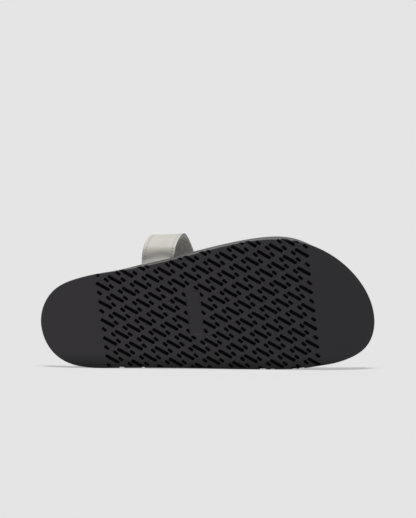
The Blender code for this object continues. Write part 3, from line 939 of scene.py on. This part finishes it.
LINING_INSET, LINING_ROUND, LINING_LIFT, RAW_EDGE = 0.35, 0.4, 0.02, 0.1
lining_edge = EDGE - LINING_INSET
lining_flat = lining_edge - LINING_ROUND
lining_run = np.linspace(0.0, STRAP_LENGTH, 300)
lining_turn = np.radians(np.linspace(0.0, 90.0, 4))
lining_face = np.linspace(-lining_edge, lining_edge, 20)
lining_back = np.linspace(lining_flat, -lining_flat, 20)[1:-1]
raw_side = lining_flat + LINING_ROUND * np.cos(lining_turn)
raw_lift = LINING_ROUND - HALF_THICKNESS - LINING_ROUND * np.sin(lining_turn)
lining_sides = np.concatenate([lining_face, raw_side, lining_back, -raw_side[::-1]])
lining_lifts = np.concatenate([
    np.full(len(lining_face), LINING_LIFT), raw_lift,
    np.full(len(lining_back), -HALF_THICKNESS), raw_lift[::-1]])
lining = band("strap_inner", lining_run, lining_sides, lining_lifts, [nap])
raw = np.abs(lining_sides) > lining_edge - RAW_EDGE
mark_points(lining, "cut_edge", np.tile(raw, len(lining_run)))
take_place(lining, "strap")

# %% [markdown]
# ## Thread of the strap
#
# A sewing machine sets stitches at even lengths along the leather, so they crowd where a crease
# takes up length. Each stitch is a short tube, bulged in the middle and sunk at both ends. All
# tubes of a row come from one array.

# %% Stitches
thread = new_finish("strap_thread", (0.60, 0.585, 0.54), 0.6)
add_bump(thread, add_texture(thread, "noise", 2600.0, 2.0), 0.05, 0.5)

STITCH, THICK, THINNEST = 2.3, 0.28, 0.02
STITCH_LOW, STITCH_RISE = 0.70, 0.42
bulge = np.linspace(-1.0, 1.0, 9)
thick = THICK * np.sqrt(np.maximum(1.0 - bulge ** 4, THINNEST))[:, None]
around = np.radians(np.arange(8) * 45.0)
stitch_lift = STITCH_LOW + STITCH_RISE * np.sqrt(1.0 - bulge ** 2)[:, None] + thick * np.sin(around)
stitch_side = thick * np.cos(around)


def seam_row(row):
    """Tubes at even lengths along the leather, each a ring of points over a bulged middle line."""
    way = sewn_way(row)
    middles = np.arange(0.0, np.interp(SEAM_END, upper_run, way), PITCH)
    stitch_run = np.interp(middles[:, None] + bulge * STITCH / 2.0, way, upper_run)
    return strap_point(stitch_run[..., None], row + stitch_side, stitch_lift).reshape(-1, 3)


tubes = np.concatenate([seam_row(-ROW), seam_row(ROW)])
per_tube = len(bulge) * len(around)
first = np.arange(len(tubes) // per_tube) * per_tube
walls = (first[:, None, None] + grid_faces(len(bulge), len(around), True)).reshape(-1, 4)
ends = first[:, None] + np.arange(len(around))
seam_faces = walls.tolist() + ends.tolist() + (ends + per_tube - len(around)).tolist()
stitches = make_piece("strap_stitches", tubes, seam_faces, [thread], BAND_SHARP)
take_place(stitches, "strap")
print(len(first), "stitches in two rows")

# %% [markdown]
# ## Floor
#
# The shoe was photographed on a pale, softly lit table without an edge, almost free of shadow. The
# floor here is a wide sheet that partly glows by itself, like a light table, so shadows stay faint.
# Glow and lamplight together make the brightness of the background, so no horizon shows.

# %% Floor
PALE, GLOW, GREY = 0.784, 0.46, 0.10
FLOOR_LEVEL, REACH = -0.0002, 20.0
corners = [(-REACH, -REACH, FLOOR_LEVEL), (REACH, -REACH, FLOOR_LEVEL),
           (REACH, REACH, FLOOR_LEVEL), (-REACH, REACH, FLOOR_LEVEL)]
floor_mesh = bpy.data.meshes.new("floor")
floor_mesh.from_pydata(corners, [], [(0, 1, 2, 3)])
floor = bpy.data.objects.new("floor", floor_mesh)
bpy.context.collection.objects.link(floor)
table = new_finish("pale_table", (GREY, GREY, GREY), 1.0, [
    (GLOSS, 0.0), ("Emission Color", (GLOW, GLOW, GLOW, 1.0)), ("Emission Strength", 1.0)])
floor_mesh.materials.append(table)

# %% [markdown]
# ## Light
#
# A large lamp nearly overhead, a sun with a very wide disc, lights the shoe alone and keeps the
# shading of the strap soft. The floor has a strip of five narrow suns of its own. Only outsole and
# strap block these, which leaves the thin line of shadow that the photo shows at heel and toe. Their
# strength follows from the brightness that the floor still lacks.

# %% Lamps
SKY = 0.28
SHOE_STRENGTH, SHOE_SPREAD, SHOE_FORWARD, SHOE_LEFTWARD = 2.5, 80.0, 10.0, 8.0
FLOOR_SPREAD, FLOOR_TILT, STRIP = 4.0, 13.0, (-7.0, -3.5, 0.0, 3.5, 7.0)


def add_lamp(name, strength, spread, forward, leftward, lit, shading):
    """Sun of a wide disc, tilted in degrees, that lights some objects and that some objects block."""
    lamp = bpy.data.objects.new(name, bpy.data.lights.new(name, "SUN"))
    lamp.data.energy = strength
    lamp.data.angle = math.radians(spread)
    lamp.rotation_euler = (math.radians(forward), -math.radians(leftward), 0.0)
    bpy.context.collection.objects.link(lamp)
    reached = bpy.data.collections.new(name)
    blocking = bpy.data.collections.new(name + "_shading")
    for thing in lit:
        reached.objects.link(thing)
    for thing in shading:
        blocking.objects.link(thing)
    lamp.light_linking.receiver_collection = reached
    lamp.light_linking.blocker_collection = blocking


shoe = [outsole, midsole, insole, upper, lining, stitches]
add_lamp("shoe_lamp", SHOE_STRENGTH, SHOE_SPREAD, SHOE_FORWARD, SHOE_LEFTWARD, shoe, shoe + [floor])
steepness = math.cos(math.radians(FLOOR_TILT)) * np.cos(np.radians(STRIP)).sum()
floor_strength = math.pi * ((PALE - GLOW) / GREY - SKY) / steepness
for number, sideways in enumerate(STRIP):
    add_lamp("floor_lamp_%d" % number, floor_strength, FLOOR_SPREAD, FLOOR_TILT, sideways,
             [floor], [outsole, upper, lining, stitches])
print("floor lamp strength", round(floor_strength, 2))

# %% [markdown]
# ## Sky
#
# The room around the table fills the shadows. What the camera or a glossy skin sees of it has the
# brightness of the background, and what lights the matt surfaces is dimmer, because a real room is
# mostly darker than its backdrop.

# %% Sky
world = bpy.data.worlds.new("studio")
world.use_nodes = True
bpy.context.scene.world = world
sky_nodes, sky_links = world.node_tree.nodes, world.node_tree.links
sky_nodes.clear()
seen, lamp_sky = sky_nodes.new("ShaderNodeBackground"), sky_nodes.new("ShaderNodeBackground")
seen.inputs["Color"].default_value = (PALE, PALE, PALE, 1.0)
lamp_sky.inputs["Color"].default_value = (SKY, SKY, SKY, 1.0)
ray, either = sky_nodes.new("ShaderNodeLightPath"), sky_nodes.new("ShaderNodeMixShader")
mirrored = sky_nodes.new("ShaderNodeMath")
mirrored.operation = "MAXIMUM"
sky_output = sky_nodes.new("ShaderNodeOutputWorld")
sky_links.new(ray.outputs["Is Camera Ray"], mirrored.inputs[0])
sky_links.new(ray.outputs["Is Glossy Ray"], mirrored.inputs[1])
sky_links.new(mirrored.outputs["Value"], either.inputs["Fac"])
sky_links.new(lamp_sky.outputs["Background"], either.inputs[1])
sky_links.new(seen.outputs["Background"], either.inputs[2])
sky_links.new(either.outputs["Shader"], sky_output.inputs["Surface"])
bpy.context.scene.view_settings.view_transform = "Standard"
print("background", PALE, "and light from the sky", SKY)

# %% [markdown]
# ## Camera
#
# The photo was taken from close to the floor, a little above it, with a long lens that keeps the
# sole nearly free of perspective. The camera looks along the floor at the middle of the picture and
# is rolled by half a degree. Its lens follows from how many millimetres one picture point covers at
# the sole.

# %% Camera
DISTANCE, POINT_SIZE, PICTURE_HEIGHT, SENSOR = 1.6, 0.0008335, 518, 36.0
RAISED, ROLLED = math.radians(3.5), math.radians(0.48)
AIM_ALONG, AIM_HIGH = -0.0004, 0.0921
lens = bpy.data.cameras.new("camera")
lens.sensor_width = SENSOR
lens.lens = SENSOR * DISTANCE / (PICTURE_HEIGHT * POINT_SIZE)
camera = bpy.data.objects.new("camera", lens)
slab_room = to_room(slab_rings.reshape(-1, 3))
front = float(slab_room[np.argmin(slab_room[:, 2]), 1])
back, high = DISTANCE * math.cos(RAISED), DISTANCE * math.sin(RAISED)
camera.location = (AIM_ALONG, front - back, AIM_HIGH + high)
tilted = Matrix.Rotation(math.pi / 2.0 - RAISED, 3, "X") @ Matrix.Rotation(ROLLED, 3, "Z")
camera.rotation_euler = tilted.to_euler()
bpy.context.collection.objects.link(camera)
bpy.context.scene.camera = camera
print("lens", round(lens.lens, 1), "mm, aimed at depth", round(front, 5))
